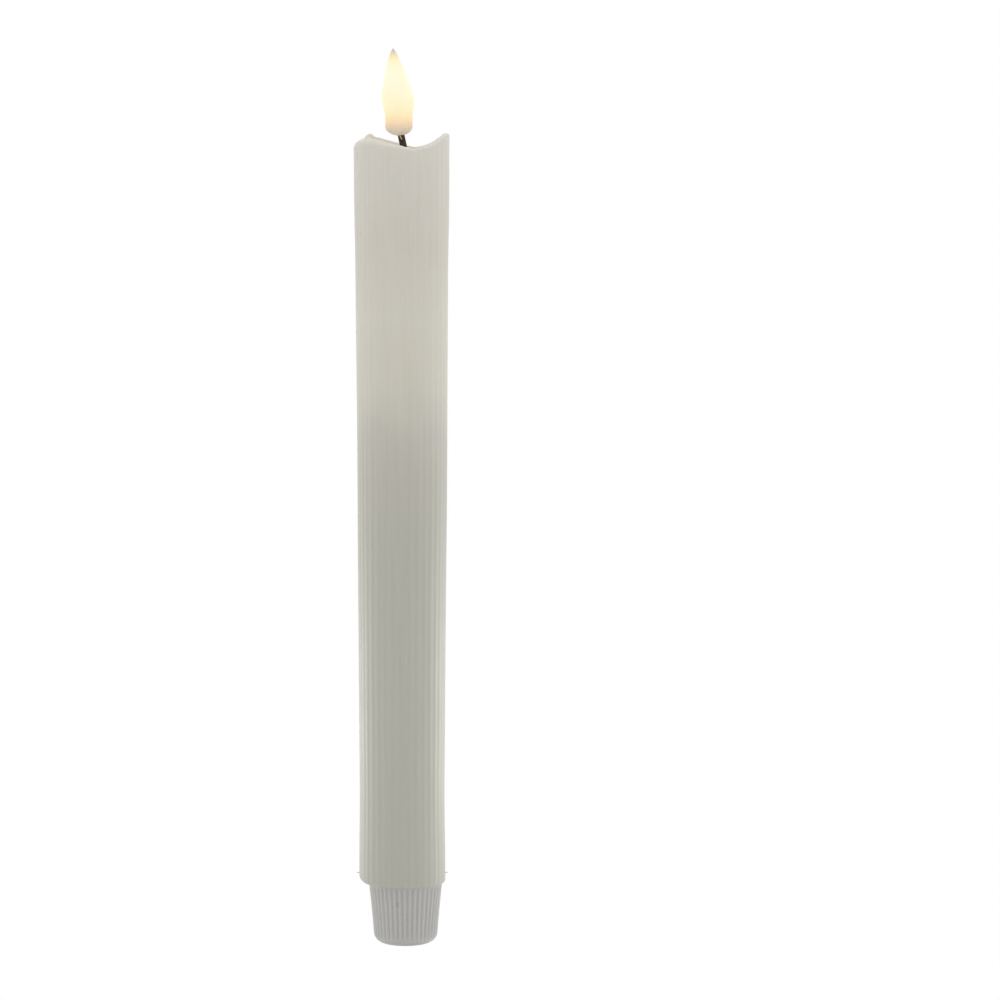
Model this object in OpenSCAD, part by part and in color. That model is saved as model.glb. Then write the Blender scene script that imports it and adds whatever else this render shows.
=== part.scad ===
// Flameless LED taper candle with a screw-on base cap, two AA cells and a moulded flame.
// Millimetres, +Z up. The origin is the middle of the base cap's underside, on the axis
// that the cap, the thread and the battery tube share. The wax casting sits a little to -X.

/* [Wax] */
// Outer diameter of the wax at its lower end
wax_d_bottom = 22.6; // [22.4:0.1:24]
// Outer diameter of the wax at its rim
wax_d_top = 25.2; // [24.5:0.1:27]
// How far the casting sits to one side of the battery tube
wax_offset = 0.7; // [0:0.1:1]
// Height of the rim's lowest point
rim_z = 212; // [211:0.5:214]
// How far the rim's two peaks stand above its lowest point
rim_rise = 3.7; // [1:0.1:4]
// Height of the melt pool's floor
pool_z = 208.2; // [207.5:0.1:209]

/* [Base cap] */
// Height of the cap
cap_h = 17; // [16.6:0.1:17.2]
// Height of the plain collar above the flutes
collar_h = 1.4; // [0.6:0.1:3]
// Outer diameter of the cap at its foot
cap_d_bottom = 17.2; // [17:0.1:18]
// Outer diameter of the cap at its mouth
cap_d_top = 19.8; // [19.5:0.1:20.5]
// Radius of the cap's bottom edge
cap_round = 2.7; // [2:0.1:3]
// Number of flutes round the cap
flutes = 42; // [20:1:48]
// Depth of one flute
flute_depth = 0.3; // [0.1:0.05:0.4]

/* [Thread] */
// Rise of the thread in one turn
thread_pitch = 2; // [1.8:0.1:2.2]
// Turns of thread on the neck
neck_turns = 2.2; // [1.5:0.1:2.2]
// Gap between the thread's two halves, measured along the radius
thread_gap = 0.2; // [0.15:0.01:0.25]

/* [Cells] */
// Diameter of one AA cell over its jacket
cell_d = 14.5; // [14:0.1:14.6]
// Length of one AA cell with its positive button
cell_len = 50.5; // [49.2:0.1:50.5]
// Height of the lower cell's flat end
cell_z = 25; // [24:0.5:26]

/* [Switch] */
// Travel of the switch knob over its three positions
switch_travel = 4; // [2:0.5:4]

/* [Flame] */
// Height of the flame above its round foot
flame_h = 22.8; // [20:0.1:26]
// Radius of the flame at its widest
flame_r = 4.4; // [4:0.1:5]
// Radius of the flame's straight lower part
flame_foot_r = 3.6; // [3.4:0.1:4]
// How far the tip leans towards -X from the foot
flame_lean = 1.75; // [0:0.05:2]

/* [Wick] */
// Diameter of the black wick sleeve
wick_d = 1.9; // [1.6:0.1:2]
// Lean of the wick's upper end, in degrees
wick_lean = 12; // [8:0.1:20]

/* [Hidden] */
$fn = 96;
cut = 0.5;

// Base cap: a cup with a slotted floor
cap_floor = 1.8;
cap_bore_r = 7;
cap_seat_r = 8;
cap_seat_z = 7.4;
cap_slope = atan((cap_d_top - cap_d_bottom) / 2 / cap_h);
flute_cutter_r = 0.5;
flute_z = 3.4;
switch_slot = [switch_travel + 3.4, 3.4];

// Thread: the neck's ridge points out and the tube's ridge points in
segments_per_turn = 24;
neck_core_r = 7.2;
neck_crest_r = 7.9;
neck_top_z = 23.5;
neck_bore_r = 6.3;
ridge_foot_half = 0.5;
ridge_crest_half = 0.25;
neck_ridge_z = 18.6;
tube_ridge_turns = neck_turns - 0.1;
tube_ridge_start = -216;

// Battery tube
wax_z = cap_h + 0.1;
tube_r = 9.1;
tube_bore_r = 7.6;
tube_seat_r = 7.9;
tube_seat_z = 127.9;
tube_top_z = 203.5;
strip_w = 3;
strip_t = 0.3;
wax_bore_r = tube_r + 0.1;
plug_top_z = tube_top_z + 1;

// Contacts and boards
plate_z = cap_seat_z + 1;
plate_t = 0.5;
plate_r = 6.1;
lead_r = 0.3;
ring_lead_at = -5.9;
ring_z = neck_top_z;
ring_t = 0.5;
board_z = 5.6;
board_t = 1;
board_screw_y = 5;
housing = [8.6, 3.8, 3.4];
terminal_pitch = 2;
spring_wire_r = 0.4;
spring_turns = 6.5;
spring_flat = 0.12;
cells_top_z = cell_z + 2 * cell_len;
driver_z = 131;
driver_t = 1.2;
driver_top = driver_z + driver_t;

// Wick and flame
wick_bend_r = 5;
wick_x = 0.5;
wick_start_z = 200;
wick_bend_z = 209.5;
flame_z = rim_z + 3.2;
flame_x = -1.2;
wick_end_z = flame_z + 0.9;
led_x = -1.1;
led_z = flame_z + 1.5;
flame_wall = 0.7;
flame_widest = 9.8;
flame_steps = 22;
flame_sides = 32;

function unit(v) = v / norm(v);

// Direction of a path at one of its points
function heading(path, i) = unit(path[min(i + 1, len(path) - 1)] - path[max(i - 1, 0)]);

// Rings of points of a round tube round a path; ref is never along the path
function tube_rings(path, r, sides, ref) = [
    for (i = [0:len(path) - 1])
        let (along = heading(path, i), across = unit(cross(along, ref)), other = cross(along, across))
        [for (k = [0:sides - 1])
            path[i] + r * (cos(360 * k / sides) * across + sin(360 * k / sides) * other)]
];

// A closed skin over rings of points that all have the same number of points
module skin(rings, flip = false) {
    n = len(rings[0]);
    last = (len(rings) - 1) * n;
    walls = [for (i = [0:len(rings) - 2], k = [0:n - 1])
        let (a = i * n + k, b = i * n + (k + 1) % n)
        each [[a, b, b + n], [a, b + n, a + n]]];
    ends = [[for (k = [0:n - 1]) n - 1 - k], [for (k = [0:n - 1]) last + k]];
    faces = concat(walls, ends);
    points = [for (ring = rings) each ring];
    polyhedron(points, flip ? [for (f = faces) [for (k = [len(f) - 1:-1:0]) f[k]]] : faces);
}

module swept_tube(path, r, sides = 8, ref = [0, 1, 0]) {
    skin(tube_rings(path, r, sides, ref), flip = true);
}

// A helical ridge of trapezoid section, from its foot radius to its crest radius
module thread_ridge(foot_r, crest_r, start_z, turns, start_angle) {
    steps = round(turns * segments_per_turn);
    rings = [for (i = [0:steps])
        let (a = start_angle + i * 360 * turns / steps, z = start_z + thread_pitch * turns * i / steps)
        [for (p = [[foot_r, -ridge_foot_half], [crest_r, -ridge_crest_half],
                   [crest_r, ridge_crest_half], [foot_r, ridge_foot_half]])
            [p[0] * cos(a), p[0] * sin(a), z + p[1]]]];
    skin(rings, flip = foot_r > crest_r);
}

module tube(r_out, r_in, z0, z1) {
    difference() {
        translate([0, 0, z0]) cylinder(r = r_out, h = z1 - z0);
        translate([0, 0, z0 - cut]) cylinder(r = r_in, h = z1 - z0 + 2 * cut);
    }
}

module slab(size, z) {
    translate([-size[0] / 2, -size[1] / 2, z]) cube([size[0], size[1], size[2]]);
}

// ---- Base: what the candlestick holds ----

module cap_outline() {
    foot_r = cap_d_bottom / 2;
    arc = [for (a = [0:10:80])
        [foot_r - cap_round + cap_round * sin(a), cap_round - cap_round * cos(a)]];
    polygon(concat([[0, 0]], arc, [[foot_r + cap_round * tan(cap_slope), cap_round],
        [cap_d_top / 2, cap_h], [0, cap_h]]));
}

module base_cap() {
    color("white") {
        difference() {
            rotate_extrude() cap_outline();
            translate([0, 0, cap_floor]) cylinder(r = cap_bore_r, h = cap_h);
            translate([0, 0, cap_seat_z]) cylinder(r = cap_seat_r, h = cap_h);
            slab([switch_slot[0], switch_slot[1], cap_floor + 2 * cut], -cut);
            for (i = [0:flutes - 1])
                rotate([0, 0, 360 * (i + 0.5) / flutes])
                    translate([cap_d_bottom / 2 + flute_cutter_r - flute_depth, 0, 0])
                        rotate([0, cap_slope, 0])
                            translate([0, 0, flute_z])
                                cylinder(r = flute_cutter_r, h = cap_h - flute_z - collar_h, $fn = 16);
        }
        for (side = [-1, 1])
            translate([0, side * board_screw_y, 0]) tube(1.5, 0.62, cap_floor - 0.4, board_z);
    }
}

module thread_neck() {
    color("white") difference() {
        union() {
            translate([0, 0, cap_seat_z]) cylinder(r = cap_seat_r - 0.1, h = cap_h - cap_seat_z);
            translate([0, 0, cap_seat_z]) cylinder(r = neck_core_r, h = neck_top_z - cap_seat_z);
            thread_ridge(neck_core_r - 0.4, neck_crest_r, neck_ridge_z, neck_turns, 0);
        }
        translate([0, 0, plate_z]) cylinder(r = neck_bore_r, h = neck_top_z);
        translate([0, 0, cap_seat_z - cut]) cylinder(r = 5, h = 2);
        translate([ring_lead_at, 0, cap_seat_z - cut]) cylinder(r = 0.35, h = 2);
    }
}

module ring_contact() {
    color("gold") tube(neck_core_r - 0.1, 5.6, ring_z, ring_z + ring_t);
}

module negative_plate() {
    color("silver") {
        difference() {
            translate([0, 0, plate_z]) cylinder(r = plate_r, h = plate_t);
            translate([ring_lead_at, 0, plate_z - cut]) cylinder(r = 0.6, h = 2);
        }
        translate([4, 0, 0]) slab([0.4, 1.6, plate_z - board_z - board_t + 0.1], board_z + board_t);
    }
}

module battery_spring() {
    low = plate_z + plate_t + spring_wire_r;
    high = cell_z - spring_wire_r;
    steps = round(spring_turns * 14);
    path = [for (i = [0:steps])
        let (t = i / steps, rise = min(1, max(0, (t - spring_flat) / (1 - 2 * spring_flat))))
        [(4.8 - 1.2 * rise) * cos(360 * spring_turns * t),
         (4.8 - 1.2 * rise) * sin(360 * spring_turns * t),
         low + (high - low) * rise]];
    color("silver") swept_tube(path, spring_wire_r, 8, [0, 0, 1]);
}

module switch_board() {
    color("darkgreen") difference() {
        translate([0, 0, board_z]) cylinder(r = cap_bore_r - 0.2, h = board_t);
        for (side = [-1, 1])
            translate([0, side * board_screw_y, board_z - cut]) cylinder(r = 0.7, h = 2);
        for (i = [-1:1])
            translate([i * terminal_pitch, 0, board_z - cut]) cylinder(r = 0.35, h = 2);
    }
}

module switch_housing() {
    wall = 0.3;
    color("silver") difference() {
        slab(housing, board_z - housing[2]);
        slab([housing[0] - 2 * wall, housing[1] - 2 * wall, housing[2]], board_z - housing[2] + wall);
        slab([switch_travel + 2, 1.6, 2 * cut], board_z - housing[2] - cut);
    }
}

module switch_terminals() {
    color("gold") for (i = [-1:1])
        translate([i * terminal_pitch, 0, board_z - 0.8]) cylinder(r = 0.3, h = board_t + 1.4, $fn = 24);
}

module board_screws() {
    color("silver") for (side = [-1, 1])
        translate([0, side * board_screw_y, 0]) {
            translate([0, 0, 3]) cylinder(r = 0.6, h = board_z + board_t - 3);
            difference() {
                translate([0, 0, board_z + board_t]) cylinder(r = 1.2, h = 0.7);
                slab([0.3, 1.6, 0.6], board_z + board_t + 0.4);
                slab([1.6, 0.3, 0.6], board_z + board_t + 0.4);
            }
        }
}

module ring_lead() {
    color("black") translate([ring_lead_at, 0, board_z + board_t])
        cylinder(r = lead_r, h = ring_z - board_z - board_t, $fn = 24);
}

// ---- Switch: the knob slides along X, a little inside the cap's floor ----

module switch_knob() {
    knob_x = -switch_travel / 2;
    color("white") translate([knob_x, 0, 0]) {
        slab([3, 3, 1.6], 0.5);
        for (i = [-1:1]) translate([i * 0.8, 0, 0]) slab([0.3, 2.6, 0.2], 0.35);
        slab([1.2, 1.2, 1.4], 2);
    }
}

// ---- Cells: two AA cells nose to tail, which rise with the tube as it unscrews ----

module cell_can(z) {
    can_r = cell_d / 2 - 0.15;
    top = cell_len - 1.4;
    color("silver") translate([0, 0, z]) rotate_extrude() polygon([
        [0, 0], [can_r - 0.5, 0], [can_r, 0.5], [can_r, top - 0.9], [can_r - 0.3, top - 0.6],
        [can_r - 0.3, top - 0.2], [can_r - 0.8, top], [2.75, top], [2.75, cell_len - 0.2],
        [2.55, cell_len], [0, cell_len]]);
}

module cell_jacket(z) {
    color("darkgreen") tube(cell_d / 2, cell_d / 2 - 0.15, z + 0.6, z + cell_len - 2.4);
}

// ---- Candle: the wax casting with the tube and everything fixed in it ----

module wax_outline() {
    translate([-wax_offset, 0, wax_z])
        cylinder(r1 = wax_d_bottom / 2, r2 = wax_d_top / 2, h = rim_z + rim_rise - wax_z);
}

module wax_sleeve() {
    dip_r = (100 + rim_rise * rim_rise) / (2 * rim_rise);
    color("ivory") difference() {
        wax_outline();
        translate([0, 0, wax_z - cut]) cylinder(r = wax_bore_r, h = plug_top_z + 0.2 - wax_z + cut);
        translate([0.6, 0, pool_z]) cylinder(r1 = 8, r2 = 10.2, h = rim_z + rim_rise - pool_z + 0.1);
        translate([1, 20, rim_z + dip_r]) rotate([90, 0, 0]) cylinder(r = dip_r, h = 40);
        translate([wick_x, 0, pool_z - 5]) cylinder(r = wick_d / 2 + 0.1, h = 6);
    }
}

module battery_tube() {
    color("whitesmoke") {
        difference() {
            translate([0, 0, wax_z]) cylinder(r = tube_r, h = tube_top_z - wax_z);
            translate([0, 0, wax_z - cut]) cylinder(r = tube_bore_r, h = tube_top_z);
            translate([0, 0, wax_z - cut])
                cylinder(r = neck_crest_r + thread_gap, h = neck_top_z + 0.5 - wax_z + cut);
            translate([0, 0, tube_seat_z]) cylinder(r = tube_seat_r, h = tube_top_z);
            translate([-tube_bore_r, 0, 0])
                slab([2 * (strip_t + 0.05), strip_w + 0.2, driver_top - neck_top_z], neck_top_z + 0.4);
        }
        thread_ridge(neck_crest_r + thread_gap + 0.4, neck_core_r + thread_gap,
            neck_ridge_z + thread_pitch / 2 + thread_pitch * tube_ridge_start / 360,
            tube_ridge_turns, tube_ridge_start);
    }
}

module return_strip() {
    foot_z = ring_z + ring_t;
    color("gold") {
        translate([-tube_bore_r - strip_t / 2, 0, 0]) slab([strip_t, strip_w, driver_top - foot_z], foot_z);
        translate([-(tube_bore_r + 6.5) / 2, 0, 0]) slab([tube_bore_r - 6.5, strip_w, 0.3], foot_z);
    }
}

module strip_notch(z) {
    translate([-tube_bore_r, 0, 0]) slab([1, strip_w + 0.2, 4], z - cut);
}

module contact_carrier() {
    color("white") difference() {
        translate([0, 0, tube_seat_z]) cylinder(r = tube_seat_r - 0.05, h = driver_z - tube_seat_z);
        translate([0, 0, tube_seat_z - cut]) cylinder(r = 0.9, h = 5);
        strip_notch(tube_seat_z);
    }
}

module positive_contact() {
    color("gold") {
        translate([0, 0, cells_top_z]) cylinder(r1 = 2.2, r2 = 3.6, h = 0.5);
        translate([0, 0, cells_top_z]) cylinder(r = 0.85, h = driver_z - cells_top_z);
    }
}

module driver_board() {
    color("darkgreen") difference() {
        translate([0, 0, driver_z]) cylinder(r = tube_seat_r - 0.1, h = driver_t);
        strip_notch(driver_z);
    }
}

module flicker_chip() {
    color("dimgray") translate([1.5, 3.6, 0]) {
        slab([5, 3.8, 1.5], driver_top + 0.1);
        for (i = [-1.5:1:1.5], side = [-1, 1])
            translate([i * 1.27, side * 2.2, 0]) slab([0.4, 1.2, 0.3], driver_top);
    }
}

module timer_crystal() {
    color("silver") translate([1.5, -2, driver_top + 1.1]) rotate([0, 90, 0]) {
        cylinder(r = 1, h = 4);
        for (side = [-1, 1]) translate([0, side * 0.4, -1.5]) cylinder(r = 0.15, h = 1.6, $fn = 16);
    }
}

module resistors() {
    color("black") for (place = [[4.2, -4.6, 0], [-3.8, 5, 0]])
        translate(place) slab([2, 1.2, 0.5], driver_top);
}

module capacitor() {
    color("royalblue") translate([-4, -2.4, driver_top]) {
        cylinder(r = 2, h = 4.6);
        translate([0, 0, 4.6]) cylinder(r1 = 2, r2 = 1.7, h = 0.3);
    }
}

// The two leads bow gently on their way up to the wick
function lead_path(side) = [
    for (i = [0:12])
        let (t = i / 12, bow = sin(180 * t))
        [wick_x + (1 - t) * -1.2 + side * 1.6 * bow, side * 0.35 - side * 1.1 * bow * (1 - t),
         driver_top + (wick_start_z - 4 - driver_top) * t]
];

module positive_lead() {
    color("red") swept_tube(lead_path(1), lead_r);
}

module negative_lead() {
    color("black") swept_tube(lead_path(-1), lead_r);
}

module tube_plug() {
    color("white") difference() {
        union() {
            translate([0, 0, wick_start_z]) cylinder(r = tube_seat_r - 0.05, h = plug_top_z - wick_start_z);
            translate([0, 0, tube_top_z]) cylinder(r = tube_r, h = plug_top_z - tube_top_z);
        }
        translate([wick_x, 0, wick_start_z - cut]) cylinder(r = wick_d / 2 + 0.05, h = 8);
    }
}

// Straight up through the plug and the wax, then an arc, then straight at the lean
function wick_path(y, z0, z1) = concat(
    [[wick_x, y, z0], [wick_x, y, wick_bend_z]],
    [for (i = [1:6])
        let (a = wick_lean * i / 6)
        [wick_x - wick_bend_r * (1 - cos(a)), y, wick_bend_z + wick_bend_r * sin(a)]],
    [let (arc_x = wick_x - wick_bend_r * (1 - cos(wick_lean)),
          arc_z = wick_bend_z + wick_bend_r * sin(wick_lean))
        [arc_x - (z1 - arc_z) * tan(wick_lean), y, z1]]
);

module wick_sleeve() {
    color("black") difference() {
        swept_tube(wick_path(0, wick_start_z, wick_end_z), wick_d / 2, 16);
        swept_tube(wick_path(0, wick_start_z - cut, wick_end_z + cut), 0.65, 16);
    }
}

module led_legs() {
    color("silver") for (side = [-1, 1])
        swept_tube(wick_path(side * 0.35, wick_start_z - 4, led_z), 0.22);
}

module led() {
    color("lightyellow") translate([led_x, 0, led_z]) {
        cylinder(r = 1.9, h = 0.8);
        cylinder(r = 1.5, h = 3);
        translate([0, 0, 3]) sphere(r = 1.5);
    }
}

// Radius and sideways place of the flame at height h over its foot
function flame_foot(h) = flame_foot_r * sqrt(1 - pow(1 - min(h, 2.4) / 2.4, 2));
function swell(h) = let (t = min(1, max(0, (h - 4.4) / (flame_widest - 4.4)))) t * t * (3 - 2 * t);
function taper(h) = pow(1 - pow((h - flame_widest) / (flame_h - flame_widest), 1.15), 0.8);
function flame_radius(h) = h < flame_widest
    ? flame_foot(h) + (flame_r - flame_foot_r) * swell(h)
    : flame_r * taper(h);
function flame_centre(h) = let (t = min(1, max(0, (h - 7) / (flame_h - 9)))) -flame_lean * t * t * (3 - 2 * t);

// Heights bunch up towards both ends, where the outline turns fastest
function flame_level(i, low, high) = low + (high - low) * (1 - cos(180 * i / flame_steps)) / 2;

module flame_solid(low, high, wall) {
    rings = [for (i = [0:flame_steps])
        let (h = flame_level(i, low, high), r = max(0.06, flame_radius(h) - wall))
        [for (k = [0:flame_sides - 1])
            [flame_x + flame_centre(h) + r * cos(360 * k / flame_sides),
             r * sin(360 * k / flame_sides), flame_z + h]]];
    skin(rings, flip = true);
}

module flame_shell() {
    color("moccasin") difference() {
        flame_solid(0.01, flame_h - 0.005, 0);
        flame_solid(0.8, flame_h - 2.2, flame_wall);
        swept_tube(wick_path(0, wick_start_z, wick_end_z + 1), wick_d / 2 + 0.05, 16);
    }
}

base_cap();
thread_neck();
ring_contact();
negative_plate();
battery_spring();
switch_board();
switch_housing();
switch_terminals();
board_screws();
ring_lead();
switch_knob();
cell_can(cell_z);  // cell_1_can
cell_jacket(cell_z);  // cell_1_jacket
cell_can(cell_z + cell_len);  // cell_2_can
cell_jacket(cell_z + cell_len);  // cell_2_jacket
wax_sleeve();
battery_tube();
return_strip();
contact_carrier();
positive_contact();
driver_board();
flicker_chip();
timer_crystal();
resistors();
capacitor();
positive_lead();
negative_lead();
tube_plug();
wick_sleeve();
led_legs();
led();
flame_shell();
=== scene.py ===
import math
import bmesh
import bpy
from mathutils import Matrix, Vector, noise


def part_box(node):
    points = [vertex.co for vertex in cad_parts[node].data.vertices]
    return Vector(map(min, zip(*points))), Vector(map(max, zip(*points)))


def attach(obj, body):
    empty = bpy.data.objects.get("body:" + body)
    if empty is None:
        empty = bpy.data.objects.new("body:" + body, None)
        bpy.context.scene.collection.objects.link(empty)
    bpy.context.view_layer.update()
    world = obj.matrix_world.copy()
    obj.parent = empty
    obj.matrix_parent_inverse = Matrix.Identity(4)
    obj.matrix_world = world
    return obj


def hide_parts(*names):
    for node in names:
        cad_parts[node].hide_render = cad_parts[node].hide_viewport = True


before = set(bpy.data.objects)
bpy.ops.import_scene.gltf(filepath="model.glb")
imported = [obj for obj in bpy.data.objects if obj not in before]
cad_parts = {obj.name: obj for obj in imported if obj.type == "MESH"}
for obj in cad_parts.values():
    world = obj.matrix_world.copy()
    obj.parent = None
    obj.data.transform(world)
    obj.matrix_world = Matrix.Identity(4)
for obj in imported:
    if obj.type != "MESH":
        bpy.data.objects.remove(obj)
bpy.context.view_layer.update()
MM = 0.001


# ---- View and light ----
# The candle is seen from about a metre away through a long lens, level with its flame, so the
# rim is edge on and the cap is seen a little from above. It stands left of the middle.
camera_away = 1.0
camera_height = 0.231
camera_aside = 0.0253
camera_tip = 6.385

camera = bpy.data.objects.new("camera", bpy.data.cameras.new("camera"))
camera.data.lens = 136.7
camera.data.sensor_width = 36
camera.data.clip_start = 0.01
camera.location = (camera_aside, -camera_away, camera_height)
camera.rotation_euler = (math.radians(90 - camera_tip), 0, 0)
bpy.context.scene.collection.objects.link(camera)
bpy.context.scene.camera = camera
bpy.context.scene.view_settings.view_transform = "Standard"


def add_node(tree, kind, inputs=None, **properties):
    """Adds a node, sets its properties, and gives each named input a value or a link."""
    node = tree.nodes.new(kind)
    for name, value in properties.items():
        setattr(node, name, value)
    for name, value in (inputs or {}).items():
        if isinstance(value, bpy.types.NodeSocket):
            tree.links.new(value, node.inputs[name])
        else:
            node.inputs[name].default_value = value
    return node


def white_to_the_eye(tree, dim):
    """Mixes a dim shader with pure white, which only the camera and gloss see; returns the mix."""
    white = add_node(tree, "ShaderNodeEmission", {"Color": (1, 1, 1, 1), "Strength": 1.0})
    ray = add_node(tree, "ShaderNodeLightPath")
    seen = add_node(tree, "ShaderNodeMath", {0: ray.outputs["Is Camera Ray"],
                                             1: ray.outputs["Is Glossy Ray"]}, operation="MAXIMUM")
    return add_node(tree, "ShaderNodeMixShader", {0: seen.outputs[0], 1: dim, 2: white.outputs[0]})


# The room is a white tent, dimmer as a light than it looks, so the ivory wax isn't washed out
room_light = 0.64
world = bpy.data.worlds.new("white_tent")
bpy.context.scene.world = world
world.use_nodes = True
tree = world.node_tree
tree.nodes.clear()
tent = add_node(tree, "ShaderNodeBackground", {"Color": (1, 1, 1, 1), "Strength": room_light})
mixed = white_to_the_eye(tree, tent.outputs[0])
add_node(tree, "ShaderNodeOutputWorld", {"Surface": mixed.outputs[0]})


def softbox(name, place, target, width, height, watts):
    light = bpy.data.lights.new(name, "AREA")
    light.shape = "RECTANGLE"
    light.size = width
    light.size_y = height
    light.energy = watts
    box = bpy.data.objects.new(name, light)
    box.location = place
    aim = Vector(target) - Vector(place)
    box.rotation_euler = aim.to_track_quat("-Z", "Y").to_euler()
    box.visible_camera = False
    bpy.context.scene.collection.objects.link(box)


# Two small boxes stand low and close, a little behind the candle, and light its flanks, its foot
# more than its top; a large one hangs over it
left_watts = 0.076
right_watts = 0.086
above_watts = 0.7
softbox("softbox_left", (-0.168, 0.090, 0.03), (0, 0, 0.03), 0.15, 0.05, left_watts)
softbox("softbox_right", (0.171, 0.082, 0.03), (0, 0, 0.03), 0.15, 0.05, right_watts)
softbox("softbox_above", (0, 0, 1.3), (0, 0, 0.1), 0.9, 0.9, above_watts)


def hex_colour(code):
    """An sRGB hex colour as linear red, green, blue and alpha."""
    shares = [int(code[i:i + 2], 16) / 255 for i in (1, 3, 5)]
    return tuple(c / 12.92 if c <= 0.04045 else ((c + 0.055) / 1.055) ** 2.4 for c in shares) + (1,)


def new_material(name, **shader):
    """A material with a Principled shader; returns it, its tree and the shader."""
    material = bpy.data.materials.new(name)
    material.use_nodes = True
    material.node_tree.nodes.clear()
    inputs = {key.replace("_", " "): value for key, value in shader.items()}
    bsdf = add_node(material.node_tree, "ShaderNodeBsdfPrincipled", inputs)
    add_node(material.node_tree, "ShaderNodeOutputMaterial", {"Surface": bsdf.outputs[0]})
    return material, material.node_tree, bsdf


# The floor is a sheet of white acrylic that goes on under and behind the candle with no edge
floor_light = 0.15
floor_bm = bmesh.new()
bmesh.ops.create_grid(floor_bm, x_segments=4, y_segments=4, size=3.0)
floor_mesh = bpy.data.meshes.new("floor")
floor_bm.to_mesh(floor_mesh)
floor_bm.free()
floor = bpy.data.objects.new("floor", floor_mesh)
bpy.context.scene.collection.objects.link(floor)
acrylic, tree, bsdf = new_material("white_acrylic", Base_Color=hex_colour("#BCBCBC"), Roughness=0.6,
                                   Emission_Color=(1, 1, 1, 1), Emission_Strength=floor_light)
mixed = white_to_the_eye(tree, bsdf.outputs[0])
tree.links.new(mixed.outputs[0], tree.nodes["Material Output"].inputs["Surface"])
floor_mesh.materials.append(acrylic)


# ---- Base cap ----
# White ABS, injection moulded: a cup with a plain collar, a fluted grip and a rounded foot that
# goes into the candlestick. Its floor has a slot for the switch knob and bosses for two screws.
_, cap_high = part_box("base_cap")
cap_height = cap_high.z
cap_mouth_r = cap_high.x
cap_foot_r = 8.6 * MM
cap_edge = 2.7 * MM
cap_waist = 0.10 * MM
cap_lip = 0.25 * MM
cap_seat_r = 8.0 * MM
cap_seat_z = 7.4 * MM
cap_bore_r = 7.0 * MM
cap_floor = 1.8 * MM
cap_hub_r = 5.4 * MM
wall_levels = 30
flutes = 42
flute_steps = 12
flute_depth = 0.45 * MM
flute_low = 1.0 * MM
collar = 1.0 * MM
gate_angle = math.radians(-102.7)
gate_z = 11.8 * MM
gate_r = 0.55 * MM
gate_depth = 0.55 * MM
slot_length = 7.4 * MM
slot_width = 3.4 * MM
boss_outline = [(0.65, 1.4), (1.5, 1.4), (1.5, 5.5), (1.4, 5.6), (0.75, 5.6), (0.65, 5.5)]
boss_y = 5.0 * MM


def chain(bm, points, closed=False):
    """Vertices at (radius, height) in the XZ plane, joined by edges; returns both."""
    verts = [bm.verts.new((r, 0, z)) for r, z in points]
    pairs = list(zip(verts, verts[1:] + verts[:1]))
    edges = [bm.edges.new(pair) for pair in (pairs if closed else pairs[:-1])]
    return verts + edges


def turn(bm, outline, steps):
    """Spins an outline once round the Z axis and closes its seam and poles."""
    bmesh.ops.spin(bm, geom=outline, axis=(0, 0, 1), cent=(0, 0, 0), angle=math.tau,
                   steps=steps, use_merge=True, use_duplicate=False)
    bmesh.ops.remove_doubles(bm, verts=bm.verts, dist=1e-7)
    bmesh.ops.dissolve_degenerate(bm, edges=bm.edges, dist=1e-8)


def arc(centre_r, centre_z, r, start, end, steps):
    """Points of an arc, angles in degrees from the outward direction."""
    angles = [math.radians(start + (end - start) * i / steps) for i in range(steps + 1)]
    return [(centre_r + r * math.cos(a), centre_z + r * math.sin(a)) for a in angles]


def smooth(low, high, x):
    t = min(1.0, max(0.0, (x - low) / (high - low)))
    return t * t * (3 - 2 * t)


def joined(bm, part, shift=(0, 0, 0)):
    """Moves a part and adds it to the mesh in hand, as its own closed shell."""
    bmesh.ops.recalc_face_normals(part, faces=part.faces)
    bmesh.ops.translate(part, vec=shift, verts=part.verts)
    carrier = bpy.data.meshes.new("part")
    part.to_mesh(carrier)
    part.free()
    bm.from_mesh(carrier)
    bpy.data.meshes.remove(carrier)


def finished(name, bm, body, material, sharp=40):
    """Turns a bmesh into a smooth-shaded piece that rides on a body."""
    bmesh.ops.recalc_face_normals(bm, faces=bm.faces)
    mesh = bpy.data.meshes.new(name)
    bm.to_mesh(mesh)
    bm.free()
    mesh.materials.append(material)
    mesh.shade_smooth()
    mesh.set_sharp_from_angle(angle=math.radians(sharp))
    piece = bpy.data.objects.new(name, mesh)
    bpy.context.scene.collection.objects.link(piece)
    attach(piece, body)
    return piece


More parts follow.
